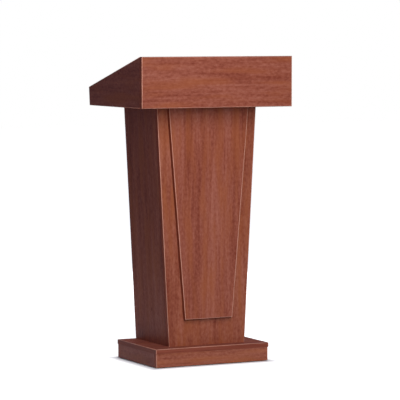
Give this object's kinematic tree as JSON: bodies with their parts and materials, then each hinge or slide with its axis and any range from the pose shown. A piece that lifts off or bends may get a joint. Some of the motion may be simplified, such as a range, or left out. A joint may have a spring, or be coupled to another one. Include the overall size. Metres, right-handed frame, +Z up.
{
  "type": "floor lectern",
  "caption": "Floor lectern of faced board with a tapered column, a raised front panel, a sloping desk with a rim, an open back with a shelf, and a low base.",
  "frame": {"origin": "on the floor under the middle of the desk", "axes": "+Z up, -Y towards the audience, +Y towards the reader, +X to the right as the audience sees it"},
  "size_m": [0.65, 0.49, 1.2],
  "materials": {
    "front_board": "satin mahogany-red melamine facing with printed grain",
    "side_board": "satin mahogany-red melamine facing with printed grain",
    "edging": "plastic edging with milled arrises",
    "pine": "planed, unfinished",
    "beech": "turned dowel, unfinished",
    "zinc": "die-cast zinc, satin",
    "steel": "zinc-plated steel",
    "cap": "moulded brown plastic",
    "glide": "moulded black nylon"
  },
  "bodies": {
    "root": {"desk_front": "front_board", "desk_front_edging": "edging", "desk_left_side": "side_board", "desk_right_side": "side_board", "desk_left_edging": "edging", "desk_right_edging": "edging", "desk_bottom": "front_board", "desk_bottom_edging": "edging", "reading_board": "front_board", "desk_rear_rail": "front_board", "desk_rear_rail_edging": "edging", "left_reading_cleat": "pine", "right_reading_cleat": "pine", "cleat_screws": "steel", "reading_board_screws": "steel", "desk_dowels": "beech", "desk_cams": "zinc", "desk_cam_bolts": "steel", "desk_cam_caps": "cap", "column_front": "front_board", "column_front_edging": "edging", "column_left_side": "side_board", "column_right_side": "side_board", "column_side_edging": "edging", "column_top_board": "front_board", "column_bottom_board": "front_board", "column_board_edging": "edging", "shelf": "front_board", "shelf_edging": "edging", "shelf_pegs": "steel", "column_dowels": "beech", "column_cams": "zinc", "column_cam_bolts": "steel", "column_cam_caps": "cap", "desk_screws": "steel", "raised_panel": "front_board", "raised_panel_edging": "edging", "raised_panel_screws": "steel", "base_top": "front_board", "base_top_edging": "edging", "base_front_rail": "front_board", "base_left_rail": "side_board", "base_right_rail": "side_board", "base_rear_rail": "front_board", "base_centre_rail": "front_board", "base_rail_edging": "edging", "base_blocks": "pine", "base_block_screws": "steel", "base_dowels": "beech", "column_screws": "steel", "glides": "glide", "glide_nails": "steel"}
  },
  "joints": []
}
